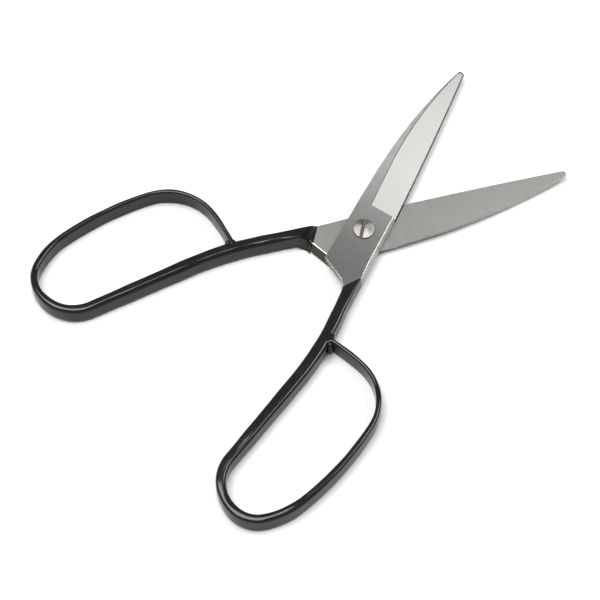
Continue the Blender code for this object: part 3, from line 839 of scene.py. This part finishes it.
def flared_stations(points, shank_half, flare):
    """Loop's end as it widens into the shank."""
    joint = points[-1].xy
    stations = bow_stations(points)[-JOINT_STEPS - JOINT_LAP:]
    flared = []
    for station in stations:
        middle = (station.outer_in + station.outer_out) / 2
        left = min(flare, max(0.0, shank_half + flare - (middle - joint).length))
        more = flare - math.sqrt(flare ** 2 - left ** 2)
        out = (station.outer_out - station.outer_in).normalized() * more
        inner = station.outer_in - out
        outer = station.outer_out + out
        flared.append(Station(inner, outer, outer, inner, station.z_contact, station.z_outer))
    return flared


def crotch_start(heel, crotch, shoulder):
    """Start of a coating at the crotch: thin film, lip behind it, ridge where the bar has its height."""
    along_edge = (heel.contact_in - crotch.contact_in).normalized()
    clear = Vector((-along_edge.y, along_edge.x)) * FILM
    ahead = along_edge * FILM_IN + clear
    back = (crotch.outer_in - shoulder.outer_in).normalized() * FILM_OUT
    film = Station(crotch.contact_in + ahead, crotch.contact_out + back, crotch.outer_out + back,
                   crotch.outer_in + ahead, Z_CONTACT - FILM, BAR_HEIGHT / 2)
    film_end = Station(crotch.contact_in + clear, crotch.contact_out, crotch.outer_out,
                       crotch.outer_in + clear, Z_CONTACT - FILM, BAR_HEIGHT / 2)
    ridge = Station(crotch.contact_in.lerp(shoulder.contact_in, RIDGE_SHARE), RIDGE_OUT, RIDGE_OUT,
                    crotch.outer_in.lerp(shoulder.outer_in, RIDGE_SHARE), -BAR_HEIGHT / 2, BAR_HEIGHT / 2)
    lip = Station(*between(film_end, ridge, COAT_START)[:4], Z_CONTACT - LIP_HEIGHT, BAR_HEIGHT / 2)
    return [film, film_end, lip], [ridge]


def coat_stations(side, points, coat_from_crotch):
    """Stations of the coating from its start to the fillet at the loop's end."""
    heel, crotch, shoulder = tang_stations(side)[1:]
    stations = bow_stations(points)
    lead, ridge = crotch_start(heel, crotch, shoulder) if coat_from_crotch else ([], [])
    knots = ridge + [shoulder, stations[EASE_SKIP], stations[2 * EASE_SKIP]]
    return lead + eased(knots) + stations[EASE_SKIP + 1:-JOINT_STEPS]


def make_coating(side, finish, coat_from_crotch):
    """Dipped coating of the bow: lip, sleeve round the loop, fillet and bump at the loop's end."""
    points = bow_points(side)
    coated = coat_stations(side, points, coat_from_crotch)
    start = between(coated[0], coated[1], COAT_START)
    nose_end = between(start, coated[1], LIP_ROUND)
    along = [nose_end] + coated[1:]
    runs = [0.0]
    for near, far in zip(along, along[1:]):
        step = (far.outer_in + far.outer_out - near.outer_in - near.outer_out).length / 2
        runs.append(runs[-1] + step)
    corners = [corner_at(side, s, run) for s, run in zip(along, runs)]
    if coat_from_crotch:
        corners[:2] = [FILM_ROUND, FILM_ROUND]
    rings = lip_rings(start, coated[1], corners[0], RAGGED if coat_from_crotch else 0.0)
    rings += [ring(s, uneven(run), corner, BAR_ARCS) for s, run, corner in zip(along, runs, corners)]
    coating = loft(side + "_dipped_coating", rings, [finish])
    flared = flared_stations(points, SHANK_WIDTH / 2, JOINT_FLARE[side])
    inset = uneven(runs[-1]) + JOINT_INSET
    flare_rings = [ring(s, inset, corner_at(side, s, ROUND_RUN) - JOINT_INSET, BAR_ARCS) for s in flared]
    flare = loft(side + "_flare", flare_rings, [finish])
    combine(coating, flare, "UNION", "MANIFOLD")
    combine(coating, make_bump(side, finish), "UNION", "MANIFOLD")
    place_piece(coating, half_matrix(side), side + "_half", "black_vinyl", side + "_coating")


def upper_bore():
    """Countersunk hole for the screw's head, in the upper half's own frame."""
    mouth = HEAD_RADIUS + HEAD_GAP
    hole = SCREW_RADIUS + PIVOT_CLEARANCE
    seat = Z_OUTER + HEAD_RIM - HEAD_SINK - PIVOT_CLEARANCE
    rim = Z_OUTER - PIVOT_CLEARANCE
    return [(0, Z_OUTER + CUT_PAST), (mouth, Z_OUTER + CUT_PAST), (mouth, rim),
            (hole, seat), (hole, -CUT_PAST), (0, -CUT_PAST)]


def lower_bore():
    """Plain hole with a counterbore for the nut, in the lower half's own frame."""
    mouth = NUT_RADIUS + PIVOT_CLEARANCE
    hole = SCREW_RADIUS + PIVOT_CLEARANCE
    seat = Z_OUTER - NUT_SINK - NUT_THICKNESS - PIVOT_CLEARANCE
    return [(0, Z_OUTER + CUT_PAST), (mouth, Z_OUTER + CUT_PAST), (mouth, seat),
            (hole, seat), (hole, -CUT_PAST), (0, -CUT_PAST)]


def make_screw(finish, slot_finish):
    """Slotted screw: domed head in the upper blade, shank down into the nut."""
    rim = Z_OUTER + HEAD_RIM
    crown = HEAD_RISE - HEAD_RIM
    dome = []
    for step in range(DOME_STEPS + 1):
        share = step / DOME_STEPS
        dome.append(((HEAD_RADIUS - HEAD_BREAK) * share, rim + crown * (1 - share ** 2)))
    tail = -Z_OUTER + NUT_SINK + PIVOT_CLEARANCE
    profile = dome + [(HEAD_RADIUS, rim - HEAD_BREAK), (HEAD_RADIUS, Z_OUTER - PIVOT_CLEARANCE / 2),
                      (SCREW_RADIUS, rim - HEAD_SINK), (SCREW_RADIUS, tail + NUT_BREAK),
                      (SCREW_RADIUS - NUT_BREAK, tail), (0, tail)]
    screw = lathe("turned_pivot_screw", profile, [finish])
    slot = block("screw_slot", (SLOT_WIDTH, 2 * (HEAD_RADIUS + CUT_PAST), 2 * SLOT_DEPTH), [slot_finish])
    sideways = Vector((math.cos(SLOT_TURN), math.sin(SLOT_TURN)))
    slot.location = lift(-SLOT_OFF * sideways, Z_OUTER + HEAD_RISE)
    slot.rotation_euler.z = SLOT_TURN
    combine(screw, slot, "DIFFERENCE")
    place_piece(screw, Matrix.Translation(PIVOT), "lower_half", "screw_steel", "pivot_screw")


def make_nut(finish):
    """Round nut with two spanner notches, sunk in the lower blade."""
    bottom = -Z_OUTER + NUT_SINK
    top = bottom + NUT_THICKNESS
    profile = [(0, top), (NUT_RADIUS, top), (NUT_RADIUS, bottom + NUT_BREAK),
               (NUT_RADIUS - NUT_BREAK, bottom), (0, bottom)]
    nut = lathe("turned_lock_nut", profile, [finish])
    bore = SCREW_RADIUS + BORE_GAP
    hole = [(0, top + CUT_PAST), (bore, top + CUT_PAST), (bore, bottom - CUT_PAST), (0, bottom - CUT_PAST)]
    combine(nut, lathe("nut_bore", hole, [finish]), "DIFFERENCE")
    notch = block("nut_notch", (NUT_NOTCH, 2 * (NUT_RADIUS + CUT_PAST), NUT_NOTCH), [finish])
    notch.location.z = bottom
    combine(nut, notch, "DIFFERENCE")
    place_piece(nut, Matrix.Translation(PIVOT), "lower_half", "screw_steel", "lock_nut")


def dress_hidden_nodes():
    """Finishes for the steel that the coating covers."""
    bar = hidden_finish("drawn_bar_steel", dark=(0.16, 0.16, 0.16), light=(0.24, 0.24, 0.23))
    bead = hidden_finish("weld_bead_steel", dark=(0.10, 0.095, 0.09), light=(0.20, 0.19, 0.18))
    for side in ("lower", "upper"):
        for node, finish in ((side + "_bow", bar), (side + "_bow_weld", bead)):
            mesh = frame["nodes"][node].data
            mesh.materials.clear()
            mesh.materials.append(finish)


# Stage

def view_axes():
    """Right, away and up on the floor as the camera sees them."""
    right = Vector((math.cos(CAMERA_AZIMUTH), math.sin(CAMERA_AZIMUTH), 0))
    away = Vector((-math.sin(CAMERA_AZIMUTH), math.cos(CAMERA_AZIMUTH), 0))
    return right, away, Vector((0, 0, 1))


def aim(obj, place, target):
    obj.location = place
    obj.rotation_euler = (target - place).to_track_quat("-Z", "Y").to_euler()


def make_camera():
    right, away, up = view_axes()
    target = PIVOT + CAMERA_AIM
    back = -away * math.cos(CAMERA_ELEVATION) + up * math.sin(CAMERA_ELEVATION)
    data = bpy.data.cameras.new("photo_camera")
    data.lens = CAMERA_LENS
    camera = bpy.data.objects.new("photo_camera", data)
    bpy.context.scene.collection.objects.link(camera)
    aim(camera, target + back * CAMERA_DISTANCE, target)
    bpy.context.scene.camera = camera


def make_softbox(box):
    """Area light turned to the pivot."""
    right, away, up = view_axes()
    data = bpy.data.lights.new(box.name, "AREA")
    data.shape = "RECTANGLE"
    data.size = box.width
    data.size_y = box.height
    data.energy = box.power
    light = bpy.data.objects.new(box.name, data)
    bpy.context.scene.collection.objects.link(light)
    direction = (right * box.way[0] + away * box.way[1] + up * box.way[2]).normalized()
    aim(light, PIVOT + direction * box.distance, PIVOT)


def make_floor():
    material, tree, shader = start_material("paper_floor")
    place = add_node(tree, "ShaderNodeTexCoord")
    field = grain(tree, place.outputs["Object"], (FLOOR_GRAIN,) * 3)
    tree.links.new(tint(tree, field, FLOOR_DARK, FLOOR_LIGHT), shader.inputs["Base Color"])
    shader.inputs["Roughness"].default_value = FLOOR_ROUGHNESS
    shader.inputs["Specular IOR Level"].default_value = FLOOR_GLOSS
    builder = bmesh.new()
    bmesh.ops.create_grid(builder, x_segments=1, y_segments=1, size=FLOOR_REACH)
    floor = add_object("floor", builder, [material])
    floor.location.z = -FLOOR_DROP


def make_world():
    world = bpy.data.worlds.new("studio")
    world.use_nodes = True
    sky = world.node_tree.nodes["Background"]
    sky.inputs["Color"].default_value = SKY_COLOUR
    sky.inputs["Strength"].default_value = SKY_STRENGTH
    bpy.context.scene.world = world


def main():
    for side, coat_from_crotch, bore in (("lower", True, lower_bore()), ("upper", False, upper_bore())):
        finishes = [satin_finish(side), ground_finish(side), lapped_finish(side), wall_finish(side),
                    shaded_land_finish(side), forged_and_shaded_finish(side), edge_highlight_finish(side)]
        make_blade(side, finishes, coat_from_crotch, bore)
        make_coating(side, vinyl_finish(side), coat_from_crotch)
    turned = turned_finish()
    slot_finish = hidden_finish("slot_steel", dark=(0.11, 0.095, 0.07), light=(0.18, 0.16, 0.125))
    make_screw(turned, slot_finish)
    make_nut(turned)
    dress_hidden_nodes()
    make_floor()
    make_world()
    for box in SOFTBOXES:
        make_softbox(box)
    make_camera()
    bpy.context.scene.view_settings.view_transform = "Standard"


main()
